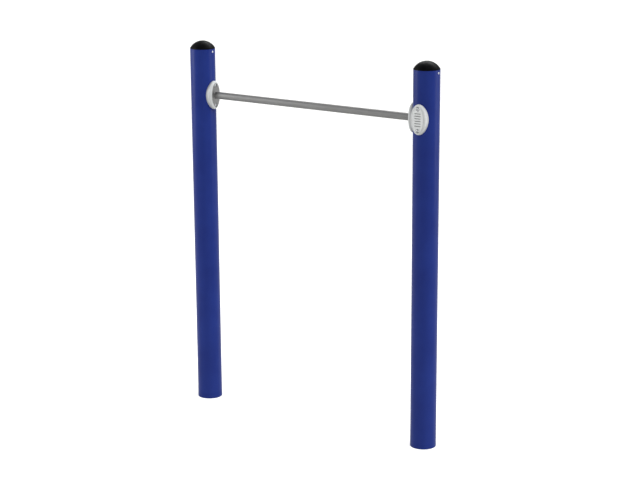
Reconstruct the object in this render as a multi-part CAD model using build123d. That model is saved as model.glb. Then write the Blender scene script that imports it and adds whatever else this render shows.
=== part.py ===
from build123d import *
import math
import os

# Kip bar: a fixed bar at chest height between two capped round posts. Millimetres.
# X runs along the bar, -Y is the front and Z is up.
# The origin is on the ground, midway between the posts, on the line of their axes.

# Posts
post_spacing = 1250.0     # between the two axes
post_height = 1750.0
post_radius = 60.0
post_wall = 4.0

# Bar
bar_height = 1530.0       # axis above the posts' feet
bar_radius = 16.85
bar_wall = 4.0

# Cast saddles: an oval block with a back that fits the post and a pocket for an oval insert
saddle_half_width = 39.0
saddle_half_height = 68.0
saddle_edge_radius = 9.5
saddle_rise = 15.0        # of the saddle's rim above the post's surface
pocket_gap = 0.3
screw_offset = 48.0       # of each screw above and below the saddle's centre
front_saddle_lift = 5.0   # of the front saddle's centre above the bar's axis

# Oval inserts that fill the pockets: steel end plates on the bar, and the front cover plate
insert_half_width = 28.7
insert_half_height = 57.7
insert_thickness = 9.0
insert_stand = 0.5        # above the saddle's rim
insert_edge = 0.8
counterbore_radius = 9.2
counterbore_depth = 6.5

# Weld fillet where the bar meets its end plate
weld_leg = 3.0            # along the bar and along the plate
weld_tip = 0.6            # thickness at the fillet's end on the bar
bar_hole_gap = 0.1

# Plain level grooves on the front cover plate
groove_length = 32.0
groove_width = 4.0
groove_depth = 2.5
groove_pitch = 11.0
groove_count = 6

# M8 button-head screws, washers and rivet nuts that hold each insert and saddle to the post
screw_radius = 4.0
screw_gap = 0.05          # between a screw and its thread
screw_length = 25.0
head_radius = 7.0
head_height = 4.4
head_socket_width = 5.0   # across flats
head_socket_depth = 3.0
washer_radius = 8.0
washer_hole_radius = 4.2
washer_thickness = 1.6
screw_hole_radius = 4.5
nut_head_radius = 6.5
nut_head_height = 1.2
nut_pocket_radius = 7.5
nut_pocket_depth = 1.5
nut_body_radius = 5.5
nut_bulge_radius = 7.6
nut_bulge_top = 4.7       # below the post's surface
nut_bulge_bottom = 7.7
nut_length = 16.0         # below the post's surface
nut_hole_radius = 5.6

# Shape of a button head, as shares of its radius and height
head_flat = 0.5           # of the radius, flat on top
head_side = 0.15          # of the height, straight at the side
head_shoulder_out = 0.85
head_shoulder_up = 0.65

# Domed cap, a shell with a spigot that fits inside the post
cap_rim_height = 2.0
cap_dome_height = 35.0
cap_wall = 3.5
spigot_gap = 0.3
spigot_wall = 4.0
spigot_length = 28.0

# M5 button-head screws through the post into bosses on the cap's spigot
cap_screw_drop = 13.0     # below the post's top
cap_screw_radius = 2.4
cap_screw_length = 16.0
cap_screw_hole_radius = 2.75
cap_head_radius = 4.75
cap_head_height = 2.75
cap_head_socket_width = 3.0
cap_head_socket_depth = 1.6
cap_boss_radius = 6.0
cap_boss_reach = 43.0     # of the boss's inner end from the post's axis
pilot_overrun = 1.0       # of the pilot hole past each end of the boss

# Plug that closes the foot of a post, flush with its end
plug_floor = 5.0
plug_height = 30.0
drain_radius = 4.0

rim_reach = post_radius + saddle_rise        # of a saddle's rim from the post's axis
face_reach = rim_reach + insert_stand        # of an insert's face
insert_back = face_reach - insert_thickness
seat_reach = face_reach - counterbore_depth  # of the counterbore's floor
bar_end = post_spacing / 2 - insert_back     # of the bar's end from its middle
screw_levels = (screw_offset, -screw_offset)
cap_screw_level = post_height - cap_screw_drop
upright = (Align.CENTER, Align.CENTER, Align.MIN)


def rod(radius, start, end):
    """A cylinder along X between two distances from the YZ plane."""
    return Plane.YZ.offset(start) * extrude(Circle(radius), end - start)


def turned(points):
    """A solid turned about Z from (radius, height) points joined by straight lines."""
    return revolve(Plane.XZ * make_face(Polyline(*points, close=True)), Axis.Z)


def facing_x(shape):
    """Turns a shape that stands on Z so that its +Z points along +X."""
    return shape.rotate(Axis.Y, 90)


def oval(half_width, half_height, start, end):
    """An oval block along X between two distances from the YZ plane."""
    return Plane.YZ.offset(start) * extrude(Ellipse(half_width, half_height), end - start)


def hex_pocket(width, depth):
    """A hexagonal socket that goes down from Z = 0."""
    return extrude(RegularPolygon(width / 2, 6, major_radius=False), -depth)


def at_bar_height(shape):
    return Pos(0, 0, bar_height) * shape


def to_left_post(shape):
    """Carries a shape made for a post at the origin, facing +X, to the left post."""
    return Pos(-post_spacing / 2, 0, 0) * shape


def to_right_post(shape):
    """The same for the right post, which faces -X: the rear stays at the rear."""
    return Pos(post_spacing / 2, 0, 0) * mirror(shape, about=Plane.YZ)


def to_right_post_front(shape):
    """The same for the front of the right post, where the saddle sits a little higher."""
    return Pos(post_spacing / 2, 0, front_saddle_lift) * shape.rotate(Axis.Z, -90)


# Posts, made with the side that carries the bar at +X

def post_tube():
    outer = Cylinder(post_radius, post_height, align=upright)
    inner = Cylinder(post_radius - post_wall, post_height, align=upright)
    return outer - inner


def saddle_screw_holes():
    holes = [Pos(0, 0, bar_height + level) * rod(nut_hole_radius, 0, face_reach) for level in screw_levels]
    return Compound(children=holes)


def cap_screw_holes():
    return Pos(0, 0, cap_screw_level) * rod(cap_screw_hole_radius, -face_reach, face_reach)


def drilled_post():
    return post_tube() - saddle_screw_holes() - cap_screw_holes()


def front_drilled_post():
    front_holes = Pos(0, 0, front_saddle_lift) * saddle_screw_holes().rotate(Axis.Z, -90)
    return mirror(drilled_post(), about=Plane.YZ) - front_holes


# Saddles and inserts, made for a post at the origin, facing +X and with their centre at Z = 0

def saddle():
    block = oval(saddle_half_width, saddle_half_height, 0, rim_reach)
    block = fillet(block.edges().sort_by(Axis.X)[-1], saddle_edge_radius)
    block = block - Cylinder(post_radius, 4 * saddle_half_height)
    block = block - oval(insert_half_width + pocket_gap, insert_half_height + pocket_gap,
                         insert_back, face_reach)
    for level in screw_levels:
        block = block - Pos(0, 0, level) * rod(screw_hole_radius, 0, face_reach)
        block = block - Pos(0, 0, level) * rod(nut_pocket_radius, 0, post_radius + nut_pocket_depth)
    return block


def insert_blank():
    plate = oval(insert_half_width, insert_half_height, insert_back, face_reach)
    plate = fillet(plate.edges().sort_by(Axis.X)[-1], insert_edge)
    for level in screw_levels:
        plate = plate - Pos(0, 0, level) * rod(counterbore_radius, seat_reach, face_reach)
        plate = plate - Pos(0, 0, level) * rod(screw_hole_radius, insert_back, face_reach)
    return plate


def bar_end_plate():
    weld = Cone(bar_radius + weld_leg, bar_radius + weld_tip, weld_leg, align=upright)
    plate = insert_blank() - rod(bar_radius + bar_hole_gap, insert_back, face_reach)
    return plate + Pos(face_reach, 0, 0) * facing_x(weld - Cylinder(bar_radius, weld_leg, align=upright))


def front_cover_plate():
    plate = insert_blank()
    groove = extrude(SlotOverall(groove_length, groove_width), -groove_depth)
    for number in range(groove_count):
        level = (number - (groove_count - 1) / 2) * groove_pitch
        plate = plate - Plane.YZ.offset(face_reach) * Pos(0, level, 0) * groove
    return plate


# Fasteners, made standing on Z with the underside of the head at Z = 0

def button_screw(radius, length, head, height, socket_width, socket_depth):
    flat = (head * head_flat, height)
    side = (head, height * head_side)
    shoulder = (head * head_shoulder_out, height * head_shoulder_up)
    arc = ThreePointArc(side, shoulder, flat)
    outline = Polyline(flat, (0, height), (0, -length), (radius, -length), (radius, 0), (head, 0), side)
    screw = revolve(Plane.XZ * make_face(Curve() + [arc, outline]), Axis.Z)
    return screw - Pos(0, 0, height) * hex_pocket(socket_width, socket_depth)


def insert_screw():
    return button_screw(screw_radius - screw_gap, screw_length, head_radius, head_height,
                        head_socket_width, head_socket_depth)


def washer():
    return turned([(washer_hole_radius, 0), (washer_radius, 0), (washer_radius, washer_thickness),
                   (washer_hole_radius, washer_thickness)])


def rivet_nut():
    """Z = 0 is the post's surface: the head stands above it, and the sleeve goes down through the wall."""
    return turned([
        (screw_radius, nut_head_height),
        (nut_head_radius, nut_head_height),
        (nut_head_radius, 0),
        (nut_body_radius, 0),
        (nut_body_radius, -nut_bulge_top),
        (nut_bulge_radius, -nut_bulge_top),
        (nut_bulge_radius, -nut_bulge_bottom),
        (nut_body_radius, -nut_bulge_bottom),
        (nut_body_radius, -nut_length),
        (screw_radius, -nut_length),
    ])


def pair_at_screws(shape, reach):
    """Two copies of a shape that stands on Z, one at each screw, at a distance from the post's axis."""
    return [at_bar_height(Pos(reach, 0, level) * facing_x(shape)) for level in screw_levels]


# Bar, cap and plug

def bar_tube():
    return rod(bar_radius, -bar_end, bar_end) - rod(bar_radius - bar_wall, -bar_end, bar_end)


def post_cap():
    sphere_radius = (post_radius**2 + cap_dome_height**2) / (2 * cap_dome_height)
    rim_top = post_height + cap_rim_height
    top = rim_top + cap_dome_height
    centre = top - sphere_radius
    spigot_outer = post_radius - post_wall - spigot_gap
    spigot_inner = spigot_outer - spigot_wall
    spigot_foot = post_height - spigot_length
    inner_radius = sphere_radius - cap_wall
    inner_level = centre + math.sqrt(inner_radius**2 - spigot_inner**2)
    turn = math.asin(post_radius / sphere_radius) / 2
    inner_turn = math.asin(spigot_inner / inner_radius) / 2
    outer_arc = ThreePointArc(
        (0, top),
        (sphere_radius * math.sin(turn), centre + sphere_radius * math.cos(turn)),
        (post_radius, rim_top))
    inner_arc = ThreePointArc(
        (spigot_inner, inner_level),
        (inner_radius * math.sin(inner_turn), centre + inner_radius * math.cos(inner_turn)),
        (0, top - cap_wall))
    walls = Polyline((post_radius, rim_top), (post_radius, post_height), (spigot_outer, post_height),
                     (spigot_outer, spigot_foot), (spigot_inner, spigot_foot), (spigot_inner, inner_level))
    axis_line = Line((0, top - cap_wall), (0, top))
    shell = revolve(Plane.XZ * make_face(Curve() + [outer_arc, walls, inner_arc, axis_line]), Axis.Z)
    for side in (-1, 1):
        # The boss stops inside the spigot's wall, so that the cap's outside stays round.
        boss = rod(cap_boss_radius, cap_boss_reach, spigot_inner + spigot_wall / 2)
        pilot = rod(cap_screw_radius, cap_boss_reach - pilot_overrun, spigot_outer + pilot_overrun)
        turn_to_side = 0 if side > 0 else 180
        shell = shell + Pos(0, 0, cap_screw_level) * boss.rotate(Axis.Z, turn_to_side)
        shell = shell - Pos(0, 0, cap_screw_level) * pilot.rotate(Axis.Z, turn_to_side)
    return shell


def cap_screws():
    screw = button_screw(cap_screw_radius - screw_gap, cap_screw_length, cap_head_radius, cap_head_height,
                         cap_head_socket_width, cap_head_socket_depth)
    outward = Pos(post_radius, 0, cap_screw_level) * facing_x(screw)
    return [outward, outward.rotate(Axis.Z, 180)]


def base_plug():
    outer = post_radius - post_wall - spigot_gap
    inner = outer - spigot_wall
    return turned([(drain_radius, 0), (outer, 0), (outer, plug_height), (inner, plug_height),
                   (inner, plug_floor), (drain_radius, plug_floor)])


# Every node, as one solid or as a list of separate solids

def saddle_fasteners():
    return {
        "screws": pair_at_screws(insert_screw(), seat_reach + washer_thickness),
        "washers": pair_at_screws(washer(), seat_reach),
        "rivet_nuts": pair_at_screws(rivet_nut(), post_radius),
    }


def placed(shapes, carry):
    return [carry(shape) for shape in shapes]


nodes = {
    "left_post": [to_left_post(drilled_post())],
    "right_post": [Pos(post_spacing / 2, 0, 0) * front_drilled_post()],
    "bar_tube": [at_bar_height(bar_tube())],
    "front_saddle": [to_right_post_front(at_bar_height(saddle()))],
    "front_cover_plate": [to_right_post_front(at_bar_height(front_cover_plate()))],
}

for side, carry in (("left", to_left_post), ("right", to_right_post)):
    nodes[side + "_post_cap"] = [carry(post_cap())]
    nodes[side + "_cap_screws"] = placed(cap_screws(), carry)
    nodes[side + "_base_plug"] = [carry(base_plug())]
    nodes[side + "_saddle"] = [carry(at_bar_height(saddle()))]
    nodes[side + "_bar_end_plate"] = [carry(at_bar_height(bar_end_plate()))]
    for name, shapes in saddle_fasteners().items():
        nodes[side + "_saddle_" + name] = placed(shapes, carry)

for name, shapes in saddle_fasteners().items():
    nodes["front_saddle_" + name] = placed(shapes, to_right_post_front)

os.makedirs("parts", exist_ok=True)
for name, shapes in nodes.items():
    solids = [solid for shape in shapes for solid in shape.solids()]
    whole = solids[0] if len(solids) == 1 else Compound(children=solids)
    export_step(whole, os.path.join("parts", name + ".step"))
    print(name, len(solids), round(sum(solid.volume for solid in solids)))
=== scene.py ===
import math

import bmesh
import bpy
from mathutils import Matrix, Vector


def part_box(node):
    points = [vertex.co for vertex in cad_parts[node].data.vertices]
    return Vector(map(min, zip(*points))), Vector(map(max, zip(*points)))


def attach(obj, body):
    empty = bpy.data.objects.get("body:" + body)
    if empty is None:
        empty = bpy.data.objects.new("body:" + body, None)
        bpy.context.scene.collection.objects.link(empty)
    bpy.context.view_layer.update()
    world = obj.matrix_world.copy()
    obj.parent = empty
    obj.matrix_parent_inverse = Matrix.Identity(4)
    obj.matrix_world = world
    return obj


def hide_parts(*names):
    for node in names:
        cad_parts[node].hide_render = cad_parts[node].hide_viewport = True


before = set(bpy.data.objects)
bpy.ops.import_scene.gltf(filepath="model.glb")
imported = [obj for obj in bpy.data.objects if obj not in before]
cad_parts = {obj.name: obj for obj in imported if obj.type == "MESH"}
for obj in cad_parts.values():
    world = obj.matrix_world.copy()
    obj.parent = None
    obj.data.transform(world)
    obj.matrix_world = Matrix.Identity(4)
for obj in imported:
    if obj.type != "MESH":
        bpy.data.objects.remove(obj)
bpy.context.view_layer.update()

milli = 0.001  # sizes below are in millimetres unless a note says otherwise
hairline = 0.001 * milli  # as good as nothing: merges points, and makes a wall upright
print("frame loaded with", len(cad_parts), "nodes")


# where things are, from the frame

def middleOf(node):
    low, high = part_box(node)
    return (low + high) / 2


barMiddle = middleOf("bar_tube")
frontMiddle = middleOf("front_saddle")
postAxes = {side: Vector((middleOf(side + "_post").x, 0, 0)) for side in ("left", "right")}

# A fitting is made standing on Z, with +Z pointing away from its post's axis and Y upright.
# This lays it to face along the bar, and each place then turns it.
standToX = Matrix(((0, 0, 1, 0), (1, 0, 0, 0), (0, 1, 0, 0), (0, 0, 0, 1)))


def fittingPlace(side, level, turn):
    middle = Matrix.Translation(postAxes[side] + Vector((0, 0, level)))
    return middle @ Matrix.Rotation(math.radians(turn), 4, "Z") @ standToX


fittingPlaces = {
    "left": fittingPlace("left", barMiddle.z, 0),
    "right": fittingPlace("right", barMiddle.z, 180),
    "front": fittingPlace("right", frontMiddle.z, -90),
}


# camera

cameraView = {
    "place": (4.4135, -6.3051, 2.8520),  # metres
    "turn": -34.675,  # degrees from straight back, towards +X
    "tilt": -14.296,  # degrees above the horizon
    "roll": -0.314,
    "lens": 94.99,
    "sensor": 36,
    "farLimit": 100,  # metres
}


def makeCamera(view):
    camera = bpy.data.objects.new("camera", bpy.data.cameras.new("camera"))
    camera.data.lens = view["lens"]
    camera.data.sensor_width = view["sensor"]
    camera.data.clip_end = view["farLimit"]
    camera.location = view["place"]
    turned = Matrix.Rotation(math.radians(-view["turn"]), 4, "Z")
    tilted = Matrix.Rotation(math.radians(90 + view["tilt"]), 4, "X")
    rolled = Matrix.Rotation(math.radians(view["roll"]), 4, "Z")
    camera.rotation_euler = (turned @ tilted @ rolled).to_euler()
    bpy.context.scene.collection.objects.link(camera)
    bpy.context.scene.camera = camera
    bpy.context.scene.view_settings.view_transform = "Standard"  # keeps paint colours as they are mixed


makeCamera(cameraView)
print("camera placed")


# materials

noiseLow, noiseHigh = 0.3, 0.7  # nearly all of a noise texture's values lie between these


def linearColour(hexText):
    channels = [int(hexText[start:start + 2], 16) / 255 for start in (1, 3, 5)]
    return [c / 12.92 if c <= 0.04045 else ((c + 0.055) / 1.055) ** 2.4 for c in channels] + [1.0]


def perMetre(size):
    return 1 / (size * milli)  # texture scale that gives a grain this many millimetres wide


def addNode(tree, kind, settings=None, inputs=None):
    node = tree.nodes.new(kind)
    for name, value in (settings or {}).items():
        setattr(node, name, value)
    for name, value in (inputs or {}).items():
        if isinstance(value, bpy.types.NodeSocket):
            tree.links.new(value, node.inputs[name])
        else:
            node.inputs[name].default_value = value
    return node


def startMaterial(name):
    material = bpy.data.materials.new(name)
    material.use_nodes = True
    material.node_tree.nodes.clear()
    return material, material.node_tree


def shaded(tree, inputs):
    shader = addNode(tree, "ShaderNodeBsdfPrincipled", None, inputs)
    addNode(tree, "ShaderNodeOutputMaterial", None, {"Surface": shader.outputs["BSDF"]})


def grain(tree, size, detail=2.0, stretch=(1, 1, 1)):
    place = addNode(tree, "ShaderNodeTexCoord").outputs["Object"]
    drawn = addNode(tree, "ShaderNodeMapping", {"vector_type": "POINT"}, {"Vector": place, "Scale": stretch})
    noise = {"Vector": drawn.outputs["Vector"], "Scale": perMetre(size), "Detail": detail, "Roughness": 0.55}
    return addNode(tree, "ShaderNodeTexNoise", None, noise).outputs["Fac"]


def mixedColour(tree, factor, darkHex, lightHex):
    ramp = addNode(tree, "ShaderNodeValToRGB", None, {"Fac": factor})
    ramp.color_ramp.elements[0].position = noiseLow
    ramp.color_ramp.elements[1].position = noiseHigh
    ramp.color_ramp.elements[0].color = linearColour(darkHex)
    ramp.color_ramp.elements[1].color = linearColour(lightHex)
    return ramp.outputs["Color"]


def ranged(tree, factor, low, high):
    spread = {"Value": factor, "From Min": noiseLow, "From Max": noiseHigh, "To Min": low, "To Max": high}
    return addNode(tree, "ShaderNodeMapRange", None, spread).outputs["Result"]


def bumped(tree, height, depth, under=None):
    inputs = {"Height": height, "Distance": depth * milli, "Strength": 1.0}
    if under is not None:
        inputs["Normal"] = under
    return addNode(tree, "ShaderNodeBump", None, inputs).outputs["Normal"]


# Painted shade: colour darkens where a surface lies in a hole or groove, in place of the shade that falls
# there; the piece's own mark says how deep.
paintedShadeColour = "#3b3a38"


def withPaintedShade(tree, colour, strength):
    mark = addNode(tree, "ShaderNodeAttribute", {"attribute_name": "paintedShadeDepth"}).outputs["Fac"]
    amount = addNode(tree, "ShaderNodeMath", {"operation": "MULTIPLY"}, {0: mark, 1: strength}).outputs[0]
    sockets = {0: amount, 6: colour, 7: linearColour(paintedShadeColour)}
    return addNode(tree, "ShaderNodeMix", {"data_type": "RGBA"}, sockets).outputs[2]


# Polyester powder coat, sprayed on the steel tube and baked: a deep blue satin skin.
# The melt levels unevenly, so it has faint orange peel and slightly cloudy gloss.
def makeBluePowderCoat():
    material, tree = startMaterial("bluePowderCoat")
    peel = grain(tree, 3.5, 1.0)  # real orange peel is 2 to 4 mm from crest to crest
    cloud = grain(tree, 160, 3.0)  # film thickness drifts over a hand's width
    speck = grain(tree, 0.9, 1.0)
    skin = bumped(tree, speck, 0.008, bumped(tree, peel, 0.07))
    shaded(tree, {
        "Base Color": mixedColour(tree, cloud, "#172667", "#1b2c70"),
        "Roughness": ranged(tree, cloud, 0.28, 0.35),
        "IOR": 1.5,
        "Specular IOR Level": 0.1,
        "Normal": skin,
    })
    return material


# Light grey powder coat over a die-cast aluminium block: softer gloss than the posts, and the
# fine grain of the blasted casting shows through it. The cover plate has a paler shade of it.
def makeCastPowderCoat(name, darkHex, lightHex):
    material, tree = startMaterial(name)
    blast = grain(tree, 0.8, 2.0)  # grit marks, about 0.8 mm apart under the film
    sink = grain(tree, 14, 2.0)  # the casting's slow waviness
    skin = bumped(tree, blast, 0.012, bumped(tree, sink, 0.05))
    shaded(tree, {
        # the base colour carries painted shade where the piece is marked as lying in a hole or groove
        "Base Color": withPaintedShade(tree, mixedColour(tree, sink, darkHex, lightHex), 0.6),
        "Roughness": ranged(tree, blast, 0.38, 0.46),
        "IOR": 1.5,
        "Specular IOR Level": 0.35,
        "Normal": skin,
    })
    return material


# Injection-moulded black polyethylene: the steel mould was spark-eroded, so the dome has a fine
# even grain that spreads its highlights, over flow marks too slight to feel.
def makeMouldedPolyethylene():
    material, tree = startMaterial("mouldedPolyethylene")
    spark = grain(tree, 0.7, 2.0)  # spark-erosion pits
    flow = grain(tree, 30, 2.0)
    shaded(tree, {
        "Base Color": mixedColour(tree, flow, "#030304", "#070708"),
        "Roughness": ranged(tree, flow, 0.36, 0.44),
        "IOR": 1.5,
        "Specular IOR Level": 0.04,
        "Normal": bumped(tree, spark, 0.006),
    })
    return material


def makeMattPolyethylene():
    material, tree = startMaterial("mattPolyethylene")  # the caps' plastic from a plain milled mould: dull
    shaded(tree, {
        "Base Color": mixedColour(tree, grain(tree, 20, 2.0), "#17171a", "#1e1e21"),
        "Roughness": 0.62,
        "Normal": bumped(tree, grain(tree, 1.2, 2.0), 0.02),
    })
    return material


# Stainless steel tube and plate, ground on a belt: grey and soft, with fine lines along the grinding
# direction that catch the light unevenly.
# The plates are a little lighter than the bar: painted light that makes up for the shade falling on them
# beside the bar.
def makeGroundStainless(name, stretch, darkHex, lightHex):
    material, tree = startMaterial(name)
    line = grain(tree, 1.6, 3.0, stretch)  # real lines are 0.1 mm apart; drawn wider so that they show
    patch = grain(tree, 45, 2.0)
    shaded(tree, {
        # the base colour carries painted shade where the piece is marked as lying in a hole
        "Base Color": withPaintedShade(tree, mixedColour(tree, line, darkHex, lightHex), 0.6),
        "Metallic": 1.0,
        "Roughness": ranged(tree, patch, 0.55, 0.62),
        "Normal": bumped(tree, line, 0.008),
    })
    return material


# Cold-headed stainless screws and stamped washers, tumbled in a barrel: bright, with tiny dents.
def makeTumbledStainless():
    material, tree = startMaterial("tumbledStainless")
    dent = grain(tree, 1.5, 2.0)
    shaded(tree, {
        # strong painted shade in the hex sockets and over the washers
        "Base Color": withPaintedShade(tree, mixedColour(tree, dent, "#d6d8dc", "#e4e6ea"), 0.85),
        "Metallic": 1.0,
        "Roughness": ranged(tree, dent, 0.28, 0.38),
        "Normal": bumped(tree, dent, 0.01),
    })
    return material


def makeZincPlate():
    material, tree = startMaterial("zincPlatedSteel")  # barrel-plated rivet nuts: a faint crystal bloom
    bloom = grain(tree, 2.5, 3.0)
    shaded(tree, {
        "Base Color": mixedColour(tree, bloom, "#a8a89c", "#bcbcb2"),
        "Metallic": 1.0,
        "Roughness": ranged(tree, bloom, 0.35, 0.5),
    })
    return material


bluePowderCoat = makeBluePowderCoat()
castPowderCoatGrey = makeCastPowderCoat("castPowderCoatGrey", "#b1b3b3", "#b7b9b9")
castPowderCoatPale = makeCastPowderCoat("castPowderCoatPale", "#c5c7c7", "#cbcdcd")
mouldedPolyethylene = makeMouldedPolyethylene()
mattPolyethylene = makeMattPolyethylene()
alongBar = (0.02, 1, 1)  # lines that run along the bar, as the tube was drawn
acrossPlate = (1, 1, 0.03)  # upright lines on the end plates
groundBar = makeGroundStainless("groundStainlessBar", alongBar, "#7b7b7b", "#848483")
# lighter than the bar's steel: painted light against the shade beside the bar
groundPlate = makeGroundStainless("groundStainlessPlate", acrossPlate, "#898989", "#919190")
tumbledStainless = makeTumbledStainless()
zincPlate = makeZincPlate()
print("materials mixed")


# modelling tools, which take millimetres

def moved(shape, items, offset):
    bmesh.ops.translate(shape, vec=Vector(offset) * milli, verts=items)


# Turns every face outwards. Recalculating alone can take a deeply pocketed shape's inside for its outside.
def faceOutwards(shape):
    bmesh.ops.recalc_face_normals(shape, faces=shape.faces)
    if shape.calc_volume(signed=True) < 0:
        bmesh.ops.reverse_faces(shape, faces=shape.faces)


def spunShape(profile, steps, closed=True):
    shape = bmesh.new()
    corners = [shape.verts.new((radius * milli, 0, height * milli)) for radius, height in profile]
    pairs = list(zip(corners, corners[1:])) + ([(corners[-1], corners[0])] if closed else [])
    edges = [shape.edges.new(pair) for pair in pairs]
    bmesh.ops.spin(shape, geom=corners + edges, axis=(0, 0, 1), cent=(0, 0, 0), dvec=(0, 0, 0),
                   angle=math.tau, steps=steps, use_merge=True, use_duplicate=False)
    bmesh.ops.remove_doubles(shape, verts=shape.verts, dist=hairline)
    faceOutwards(shape)
    return shape


def arcPoints(middle, radius, start, end, count):
    turns = [math.radians(start + (end - start) * step / count) for step in range(count + 1)]
    return [(middle[0] + radius * math.cos(turn), middle[1] + radius * math.sin(turn)) for turn in turns]


def bevelled(shape, items, width, segments, affect="EDGES"):
    bmesh.ops.bevel(shape, geom=items, offset=width * milli, offset_type="OFFSET", affect=affect,
                    segments=segments, profile=0.5, material=-1, clamp_overlap=True)


def softenEdges(shape, width, segments=3, sharperThan=40):
    bevelled(shape, [edge for edge in shape.edges if len(edge.link_faces) == 2
                     and edge.calc_face_angle(0) > math.radians(sharperThan)], width, segments)


def frontFace(shape):
    facing = [face for face in shape.faces if face.normal.z > 0.9]
    return max(facing, key=lambda face: face.calc_area())


def ringEdges(found):
    points = {item for item in found if isinstance(item, bmesh.types.BMVert)}
    edges = [item for item in found if isinstance(item, bmesh.types.BMEdge) and set(item.verts) <= points]
    return list(points), edges


def circleLoop(shape, radius, centre, level, steps):
    place = Matrix.Translation(Vector((centre[0], centre[1], level)) * milli)
    made = bmesh.ops.create_circle(shape, cap_ends=False, segments=steps, radius=radius * milli, matrix=place)
    return list({edge for point in made["verts"] for edge in point.link_edges})


def extrudeLoop(shape, edges, centre, scale, lift):
    points, edges = ringEdges(bmesh.ops.extrude_edge_only(shape, edges=edges)["geom"])
    back = Matrix.Translation(-Vector((centre[0], centre[1], 0)) * milli)
    bmesh.ops.scale(shape, vec=(scale[0], scale[1], 1), space=back, verts=points)
    moved(shape, points, (0, 0, lift))
    return edges


def closeLoop(shape, edges):
    return bmesh.ops.contextual_create(shape, geom=edges)["faces"]


def fillBetween(shape, loops):
    edges = [edge for loop in loops for edge in loop]
    bmesh.ops.triangle_fill(shape, edges=edges, use_beauty=True, use_dissolve=False, normal=(0, 0, 1))


# Sinks a round hole from a loop at the surface, through (radius, depth) steps, and closes its floor.
def sinkHole(shape, edges, centre, radius, profile):
    level = 0
    for nextRadius, depth in profile:
        ratio = nextRadius / radius
        edges = extrudeLoop(shape, edges, centre, (ratio, ratio), level - depth)
        radius, level = nextRadius, depth
    closeLoop(shape, edges)


def lipProfile(radius, lip, depth, steps=4):
    turns = [math.pi / 2 * (step + 1) / steps for step in range(steps)]
    rounded = [(radius + lip * (1 - math.sin(turn)), lip * (1 - math.cos(turn))) for turn in turns]
    return rounded + [(radius, depth)]


# Marks how far each point within a reach of the axis lies below a level, for the painted shade in holes and
# grooves.
def markPaintedShade(shape, level, depth, reach):
    mark = shape.verts.layers.float.new("paintedShadeDepth")
    for point in shape.verts:
        if point.co.xy.length < reach * milli:
            point[mark] = min(max((level - point.co.z / milli) / depth, 0), 1)


def copiedTo(shape, places):
    whole = bmesh.new()
    mesh = bpy.data.meshes.new("passing")
    shape.to_mesh(mesh)
    shape.free()
    for place in places:
        copy = mesh.copy()
        copy.transform(place)
        whole.from_mesh(copy)
        bpy.data.meshes.remove(copy)
    bpy.data.meshes.remove(mesh)
    return whole


def addPiece(name, shape, material, node, places):
    whole = copiedTo(shape, places)
    mesh = bpy.data.meshes.new(name)
    whole.to_mesh(mesh)
    whole.free()
    mesh.shade_smooth()
    mesh.materials.append(material)
    piece = bpy.data.objects.new(name, mesh)
    bpy.context.scene.collection.objects.link(piece)
    even = piece.modifiers.new("evenShading", "WEIGHTED_NORMAL")  # keeps flat faces flat beside soft edges
    even.keep_sharp = True
    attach(piece, "root")
    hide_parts(node)


# posts

post = {"radius": 60.0, "wall": 4.0, "edge": 0.7, "steps": 160}


def makePosts(sizes):
    low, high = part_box("left_post")
    height = (high.z - low.z) / milli
    inner = sizes["radius"] - sizes["wall"]
    for side in postAxes:
        shape = spunShape([(sizes["radius"], 0), (sizes["radius"], height), (inner, height), (inner, 0)],
                          sizes["steps"])
        softenEdges(shape, sizes["edge"])
        addPiece(side + "PostTube", shape, bluePowderCoat, side + "_post",
                 [Matrix.Translation(postAxes[side])])


makePosts(post)
print("posts made")


# domed caps: a shell with a skirt that drops inside the post

cap = {"radius": 60.0, "rim": 2.0, "dome": 35.0, "wall": 3.5, "skirtRadius": 55.7, "skirtWall": 4.0,
       "skirtDepth": 28.0, "edge": 0.5, "arcSteps": 20, "steps": 128}


def makeCaps(sizes):
    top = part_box("left_post")[1].z / milli
    rimTop = top + sizes["rim"]
    ball = (sizes["radius"] ** 2 + sizes["dome"] ** 2) / (2 * sizes["dome"])
    middle = (0, rimTop + sizes["dome"] - ball)
    inner = sizes["skirtRadius"] - sizes["skirtWall"]
    outerStart = math.degrees(math.acos(sizes["radius"] / ball))
    innerStart = math.degrees(math.acos(inner / (ball - sizes["wall"])))
    outside = arcPoints(middle, ball, outerStart, 90, sizes["arcSteps"])
    inside = arcPoints(middle, ball - sizes["wall"], 90, innerStart, sizes["arcSteps"])
    skirt = [(inner, top - sizes["skirtDepth"]), (sizes["skirtRadius"], top - sizes["skirtDepth"]),
             (sizes["skirtRadius"], top), (sizes["radius"], top)]
    for side in postAxes:
        shape = spunShape(outside + inside + skirt, sizes["steps"])
        softenEdges(shape, sizes["edge"])
        addPiece(side + "DomedCap", shape, mouldedPolyethylene, side + "_post_cap",
                 [Matrix.Translation(postAxes[side])])


makeCaps(cap)
print("caps made")


# plugs in the posts' feet

plug = {"radius": 55.7, "wall": 4.0, "floor": 5.0, "height": 30.0, "drain": 4.0, "edge": 0.6, "steps": 96}


def makePlugs(sizes):
    inner = sizes["radius"] - sizes["wall"]
    profile = [(sizes["drain"], 0), (sizes["radius"], 0), (sizes["radius"], sizes["height"]),
               (inner, sizes["height"]), (inner, sizes["floor"]), (sizes["drain"], sizes["floor"])]
    for side in postAxes:
        shape = spunShape(profile, sizes["steps"])
        softenEdges(shape, sizes["edge"])
        addPiece(side + "FootPlug", shape, mattPolyethylene, side + "_base_plug",
                 [Matrix.Translation(postAxes[side])])


makePlugs(plug)
print("foot plugs made")


# bar

bar = {"radius": 16.85, "wall": 4.0, "edge": 0.4, "steps": 96}


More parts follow.
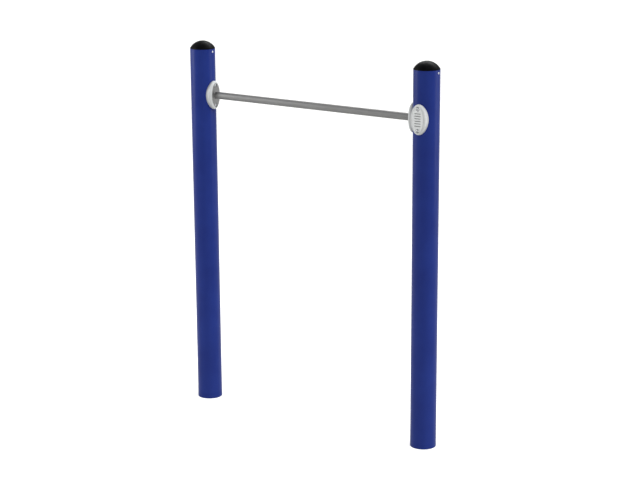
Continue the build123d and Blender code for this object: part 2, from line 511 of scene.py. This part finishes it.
def makeBar(sizes):
    low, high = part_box("bar_tube")
    half = (high.x - low.x) / 2 / milli
    inner = sizes["radius"] - sizes["wall"]
    shape = spunShape([(sizes["radius"], -half), (sizes["radius"], half), (inner, half), (inner, -half)],
                      sizes["steps"])
    softenEdges(shape, sizes["edge"])
    place = Matrix.Translation((0, 0, barMiddle.z)) @ Matrix.Rotation(math.pi / 2, 4, "Y")
    addPiece("kipBar", shape, groundBar, "bar_tube", [place])


makeBar(bar)
print("bar made")


# saddles and the oval inserts in their pockets

saddle = {"halfWidth": 39.0, "halfHeight": 68.0, "rim": 75.0, "edge": 9.5, "edgeSegments": 10,
          "ovalSteps": 144, "land": 0.5, "pocketDepth": 8.5, "lip": 0.25, "backRings": 5}
insert = {"halfWidth": 28.7, "halfHeight": 57.7, "face": 75.5, "thickness": 9.0, "edge": 0.8,
          "edgeSegments": 4, "ovalSteps": 144, "screwOffset": 48.0, "counterbore": 9.2,
          "counterboreDepth": 6.5, "lip": 0.5, "holeSteps": 64}
weld = {"width": 3.0, "height": 3.0, "tip": 0.5, "slope": ((0.5, 1.0), (1.3, 1.9)), "overBar": 0.05,
        "root": 0.5, "ripples": 56, "ripple": 0.12, "rippledRings": 3, "steps": 336}
groove = {"length": 32.0, "width": 4.0, "depth": 2.5, "lip": 0.5, "corner": 0.3, "pitch": 11.0, "count": 6,
          "lipSteps": ((0.3, 0.1), (0.7, 0.3), (1.0, 0.6))}  # shares of the lip: inwards, and further down


def ovalFace(shape, sizes, level):
    made = bmesh.ops.create_circle(shape, cap_ends=True, segments=sizes["ovalSteps"], radius=milli)
    bmesh.ops.scale(shape, vec=(sizes["halfWidth"], sizes["halfHeight"], 1), verts=made["verts"])
    moved(shape, made["verts"], (0, 0, level))
    return made["verts"][0].link_faces[0]


def layOnPost(edges):
    for point in {point for edge in edges for point in edge.verts}:
        point.co.z = math.sqrt((post["radius"] * milli) ** 2 - point.co.x ** 2)


def makeSaddle(side, sizes):
    shape = bmesh.new()
    face = ovalFace(shape, sizes, sizes["rim"])
    outline = list(face.edges)
    skirt = extrudeLoop(shape, outline, (0, 0), (1, 1), 0)
    layOnPost(skirt)
    ring = skirt
    for step in range(sizes["backRings"]):
        ratio = 1 - 1 / (sizes["backRings"] + 1 - step)
        ring = extrudeLoop(shape, ring, (0, 0), (ratio, ratio), 0)
        layOnPost(ring)
    closeLoop(shape, ring)
    bmesh.ops.recalc_face_normals(shape, faces=shape.faces)
    bevelled(shape, outline, sizes["edge"], sizes["edgeSegments"])
    face = frontFace(shape)
    land, lip = (sizes["land"] - sizes["lip"]) * milli, sizes["lip"] * milli
    for inwards, down in ((land, 0), (lip, lip), (hairline, sizes["pocketDepth"] * milli - lip)):
        bmesh.ops.inset_region(shape, faces=[face], thickness=inwards, depth=-down, use_even_offset=True)
    addPiece(side + "SaddleCasting", shape, castPowderCoatGrey, side + "_saddle",
             [fittingPlaces[side]])


# The blank is open in front, where its face is filled round whatever holes it has.
def insertBlank(sizes):
    shape = bmesh.new()
    face = ovalFace(shape, sizes, sizes["face"])
    outline = list(face.edges)
    back = extrudeLoop(shape, outline, (0, 0), (1, 1), -sizes["thickness"])
    closeLoop(shape, back)
    bmesh.ops.recalc_face_normals(shape, faces=shape.faces)
    bevelled(shape, outline, sizes["edge"], sizes["edgeSegments"])
    face = frontFace(shape)
    loops = [list(face.edges)]
    bmesh.ops.delete(shape, geom=[face], context="FACES_ONLY")
    for level in (sizes["screwOffset"], -sizes["screwOffset"]):
        start = sizes["counterbore"] + sizes["lip"]
        loop = circleLoop(shape, start, (0, level), sizes["face"], sizes["holeSteps"])
        loops.append(loop)
        sinkHole(shape, loop, (0, level), start,
                 lipProfile(sizes["counterbore"], sizes["lip"], sizes["counterboreDepth"]))
    return shape, loops


# The weld's ripples are where the torch paused, each laid over the one before.
def addWeld(shape, sizes, level):
    foot, tip = bar["radius"] + sizes["width"], bar["radius"] + sizes["tip"]
    inside = bar["radius"] - sizes["overBar"]  # the weld just overlaps the bar's skin
    loop = circleLoop(shape, foot, (0, 0), level, sizes["steps"])
    profile = [(foot - inwards, lift) for inwards, lift in sizes["slope"]]
    profile += [(tip, sizes["height"]), (inside, sizes["height"]), (inside, -sizes["root"])]
    edges, radius, height = loop, foot, 0
    for number, (nextRadius, nextHeight) in enumerate(profile):
        ratio = nextRadius / radius
        edges = extrudeLoop(shape, edges, (0, 0), (ratio, ratio), nextHeight - height)
        if number < sizes["rippledRings"]:
            for point in {point for edge in edges for point in edge.verts}:
                turn = math.atan2(point.co.y, point.co.x)
                swell = 1 + sizes["ripple"] * abs(math.sin(turn * sizes["ripples"] / 2)) / nextRadius
                point.co.x *= swell
                point.co.y *= swell
        radius, height = nextRadius, nextHeight
    closeLoop(shape, edges)
    return loop


def makeEndPlate(side, sizes):
    shape, loops = insertBlank(sizes)
    loops.append(addWeld(shape, weld, sizes["face"]))
    fillBetween(shape, loops)
    faceOutwards(shape)
    # painted shade in the counterbores, below the plate's face
    markPaintedShade(shape, sizes["face"] - sizes["lip"], sizes["lip"], sizes["halfHeight"])
    addPiece(side + "BarEndPlate", shape, groundPlate, side + "_bar_end_plate",
             [fittingPlaces[side]])


def roundedLoop(shape, width, height, corner, centre, level):
    place = Matrix.Translation(Vector((centre[0], centre[1], level)) * milli)
    size = Matrix.Diagonal((width * milli, height * milli, 1, 1))
    made = bmesh.ops.create_grid(shape, x_segments=1, y_segments=1, size=0.5, matrix=place @ size)
    face = made["verts"][0].link_faces[0]
    bevelled(shape, made["verts"], corner, 8, "VERTICES")
    target = Vector((centre[0], centre[1], level)) * milli
    face = min((found for found in shape.faces if len(found.verts) > 20),
               key=lambda found: (found.calc_center_median() - target).length)
    edges = list(face.edges)
    bmesh.ops.delete(shape, geom=[face], context="FACES_ONLY")
    return edges


# Takes a rounded outline down or up through steps of (distance inwards from the outline, lift).
def stepLoop(shape, edges, centre, width, height, steps):
    inwards = 0
    for distance, lift in steps:
        change = distance - inwards
        scale = (1 - 2 * change / (width - 2 * inwards), 1 - 2 * change / (height - 2 * inwards))
        edges = extrudeLoop(shape, edges, centre, scale, lift)
        inwards = distance
    return edges


def makeCoverPlate(sizes):
    shape, loops = insertBlank(sizes)
    lip, corner = groove["lip"], groove["corner"]
    length, width = groove["length"] + 2 * lip, groove["width"] + 2 * lip
    roundness = width / 2 - 0.01  # just short of a full half circle, so that no points meet
    steps = [(lip * inwards, -lip * down) for inwards, down in groove["lipSteps"]]
    steps += [(lip, lip + corner - groove["depth"]), (lip + corner, -corner)]
    for number in range(groove["count"]):
        centre = (0, (number - (groove["count"] - 1) / 2) * groove["pitch"])
        mouth = roundedLoop(shape, length, width, roundness, centre, sizes["face"])
        loops.append(mouth)
        closeLoop(shape, stepLoop(shape, mouth, centre, length, width, steps))
    fillBetween(shape, loops)
    faceOutwards(shape)
    # painted shade in the grooves and counterbores, below the plate's face
    markPaintedShade(shape, sizes["face"] - lip, lip, sizes["halfHeight"])
    addPiece("frontCoverPlate", shape, castPowderCoatPale, "front_cover_plate",
             [fittingPlaces["front"]])


for side in fittingPlaces:
    makeSaddle(side, saddle)
for side in postAxes:
    makeEndPlate(side, insert)
makeCoverPlate(insert)
print("saddles and inserts made")


# screws and washers

insertScrew = {"radius": 3.95, "length": 25.0, "head": 7.0, "height": 4.4, "top": 3.6, "socket": 5.0,
               "socketDepth": 3.0, "point": 0.9, "steps": 64}
capScrew = {"radius": 2.35, "length": 16.0, "head": 4.75, "height": 2.75, "top": 2.3, "socket": 3.0,
            "socketDepth": 1.6, "point": 0.6, "steps": 48}
washer = {"hole": 4.2, "radius": 8.0, "thickness": 1.6, "edge": 0.25, "steps": 64}
headForm = {"flank": 0.16, "flatten": 1.12, "arcSteps": 8, "underEdge": 0.15, "edge": 0.12, "edgeSegments": 2,
            "sharperThan": 50, "drillPoint": 0.15, "drillDepth": 0.2, "unshadedDepth": 0.2, "shadeFadeDepth": 0.6}


def buttonScrew(sizes):
    flank = sizes["height"] * headForm["flank"]  # the head's upright edge below its dome
    reach, rise = sizes["head"] - sizes["top"], sizes["height"] - flank
    ball = (reach ** 2 + rise ** 2) / (2 * rise) * headForm["flatten"]  # flatter than a dome level at its top
    half = math.hypot(reach, rise) / 2
    lean = math.atan2(rise, reach)
    drop = math.sqrt(ball ** 2 - half ** 2)
    middle = ((sizes["head"] + sizes["top"]) / 2 - drop * math.sin(lean),
              (sizes["height"] + flank) / 2 - drop * math.cos(lean))
    startTurn = math.degrees(math.atan2(flank - middle[1], sizes["head"] - middle[0]))
    endTurn = math.degrees(math.atan2(sizes["height"] - middle[1], sizes["top"] - middle[0]))
    dome = arcPoints(middle, ball, startTurn, endTurn, headForm["arcSteps"])
    under, length = headForm["underEdge"], sizes["length"]
    shank = [(sizes["radius"], 0), (sizes["radius"], sizes["point"] - length),
             (sizes["radius"] - sizes["point"], -length), (0, -length)]
    profile = list(reversed(dome)) + [(sizes["head"], under), (sizes["head"] - under, 0)] + shank
    shape = spunShape(profile, sizes["steps"], closed=False)
    rim = [edge for edge in shape.edges if len(edge.link_faces) == 1]
    corner = sizes["socket"] / 2 / math.cos(math.pi / 6)
    mouth = circleLoop(shape, corner, (0, 0), sizes["height"], 6)
    floor = extrudeLoop(shape, mouth, (0, 0), (1, 1), -sizes["socketDepth"])
    narrow = headForm["drillPoint"]
    drilled = extrudeLoop(shape, floor, (0, 0), (narrow, narrow), -sizes["socket"] * headForm["drillDepth"])
    closeLoop(shape, drilled)
    fillBetween(shape, [rim, mouth])
    faceOutwards(shape)
    softenEdges(shape, headForm["edge"], headForm["edgeSegments"], headForm["sharperThan"])
    # painted shade in the hex socket, below the head's top
    markPaintedShade(shape, sizes["height"] - headForm["unshadedDepth"], headForm["shadeFadeDepth"], corner * 1.01)
    return shape


def flatWasher(sizes):
    shape = spunShape([(sizes["hole"], 0), (sizes["radius"], 0), (sizes["radius"], sizes["thickness"]),
                       (sizes["hole"], sizes["thickness"])], sizes["steps"])
    softenEdges(shape, sizes["edge"])
    # painted shade over the whole washer, which sits in the counterbore under the screw head
    markPaintedShade(shape, sizes["thickness"] * 2, sizes["thickness"], sizes["radius"] * 1.01)  # deep all over
    return shape


def fastenerPlaces(side, reach, turn):
    ends = (insert["screwOffset"], -insert["screwOffset"])
    turned = Matrix.Rotation(math.radians(turn), 4, "Z")
    return [fittingPlaces[side] @ Matrix.Translation(Vector((0, level, reach)) * milli) @ turned
            for level in ends]


def makeFasteners():
    seat = insert["face"] - insert["counterboreDepth"]
    for side, turn in (("left", 11), ("right", 24), ("front", 5)):  # each screw stopped where it was tight
        addPiece(side + "SaddleWashers", flatWasher(washer), tumbledStainless,
                 side + "_saddle_washers", fastenerPlaces(side, seat, 0))
        addPiece(side + "SaddleScrews", buttonScrew(insertScrew), tumbledStainless,
                 side + "_saddle_screws", fastenerPlaces(side, seat + washer["thickness"], turn))
    for side in postAxes:
        level = middleOf(side + "_cap_screws").z
        outwards = Matrix.Translation((post["radius"] * milli, 0, 0)) @ Matrix.Rotation(math.pi / 2, 4, "Y")
        places = [Matrix.Translation(postAxes[side] + Vector((0, 0, level)))
                  @ Matrix.Rotation(turn, 4, "Z") @ outwards for turn in (0, math.pi)]
        addPiece(side + "CapScrews", buttonScrew(capScrew), tumbledStainless,
                 side + "_cap_screws", places)


makeFasteners()
print("screws and washers made")


# the rivet nuts stay as designed, inside the posts

for side in fittingPlaces:
    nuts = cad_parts[side + "_saddle_rivet_nuts"]
    nuts.data.materials.clear()
    nuts.data.materials.append(zincPlate)
print("rivet nuts finished")


# floor and light

studio = {"floorSize": 60.0, "floorLevel": -0.0003, "floorDark": "#cfcfcd", "floorLight": "#d2d2d0",
          "floorCloud": 400, "floorGlow": 0.45, "backdrop": "#ffffff", "horizon": 0.5, "zenith": 0.6}
sun = {"turn": -12.0, "height": 50.0, "strength": 2.6, "angle": 25.0}  # degrees, but for the strength
softboxes = {
    "leftSoftbox": {"place": (-4.0, -2.0, 2.6), "aim": (0, 0, 1.4), "size": (1.6, 3.6), "power": 150},
    "rightSoftbox": {"place": (4.5, 2.5, 2.0), "aim": (0.6, 0, 1.4), "size": (1.6, 3.6), "power": 65},
    "topSoftbox": {"place": (0.0, 2.2, 4.2), "aim": (0, 0, 1.5), "size": (4.0, 1.4), "power": 100},
}


def makeFloor(values):
    material, tree = startMaterial("paleStudioFloor")
    seen = addNode(tree, "ShaderNodeLightPath").outputs["Is Camera Ray"]
    glow = addNode(tree, "ShaderNodeMath", {"operation": "MULTIPLY"}, {0: seen, 1: values["floorGlow"]})
    cloud = grain(tree, values["floorCloud"])
    shaded(tree, {
        "Base Color": mixedColour(tree, cloud, values["floorDark"], values["floorLight"]),
        "Roughness": 0.9,
        "Specular IOR Level": 0.1,
        "Emission Color": linearColour(values["backdrop"]),
        "Emission Strength": glow.outputs[0],  # a lit table, which keeps the shadows pale
    })
    shape = bmesh.new()
    bmesh.ops.create_grid(shape, x_segments=1, y_segments=1, size=values["floorSize"] / 2)
    mesh = bpy.data.meshes.new("studioFloor")
    shape.to_mesh(mesh)
    shape.free()
    mesh.materials.append(material)
    floor = bpy.data.objects.new("studioFloor", mesh)
    floor.location.z = values["floorLevel"]
    bpy.context.scene.collection.objects.link(floor)


# The backdrop is white where the camera sees it. What lights the object is a dimmer wall all
# round, a little brighter towards the ceiling.
def makeSky(values):
    world = bpy.data.worlds.new("studio")
    bpy.context.scene.world = world
    world.use_nodes = True
    tree = world.node_tree
    tree.nodes.clear()
    white = linearColour(values["backdrop"])
    direction = addNode(tree, "ShaderNodeTexCoord").outputs["Generated"]
    height = addNode(tree, "ShaderNodeSeparateXYZ", None, {"Vector": direction}).outputs["Z"]
    level = addNode(tree, "ShaderNodeMapRange", None, {
        "Value": height, "From Min": 0.1, "From Max": 0.9,
        "To Min": values["horizon"], "To Max": values["zenith"]}).outputs["Result"]
    seen = addNode(tree, "ShaderNodeBackground", None, {"Color": white, "Strength": 1.0})
    felt = addNode(tree, "ShaderNodeBackground", None, {"Color": white, "Strength": level})
    ray = addNode(tree, "ShaderNodeLightPath").outputs["Is Camera Ray"]
    mix = addNode(tree, "ShaderNodeMixShader", None, {0: ray, 1: felt.outputs[0], 2: seen.outputs[0]})
    addNode(tree, "ShaderNodeOutputWorld", None, {"Surface": mix.outputs[0]})


def makeSun(values):
    light = bpy.data.lights.new("softSun", "SUN")
    light.energy = values["strength"]
    light.angle = math.radians(values["angle"])
    lamp = bpy.data.objects.new("softSun", light)
    height = math.radians(values["height"])
    raised = Vector((math.cos(height), 0, math.sin(height)))
    towards = Matrix.Rotation(math.radians(values["turn"]), 3, "Z") @ raised
    lamp.rotation_euler = towards.to_track_quat("Z", "Y").to_euler()
    lamp.visible_glossy = False  # only the softboxes and the walls are mirrored
    bpy.context.scene.collection.objects.link(lamp)


def makeSoftbox(name, values):
    light = bpy.data.lights.new(name, "AREA")
    light.shape = "RECTANGLE"
    light.size, light.size_y = values["size"]
    light.energy = values["power"]
    lamp = bpy.data.objects.new(name, light)
    lamp.location = values["place"]
    towards = Vector(values["aim"]) - Vector(values["place"])
    lamp.rotation_euler = towards.to_track_quat("-Z", "Y").to_euler()
    bpy.context.scene.collection.objects.link(lamp)


makeFloor(studio)
makeSky(studio)
makeSun(sun)
for boxName, boxValues in softboxes.items():
    makeSoftbox(boxName, boxValues)
print("studio lit")
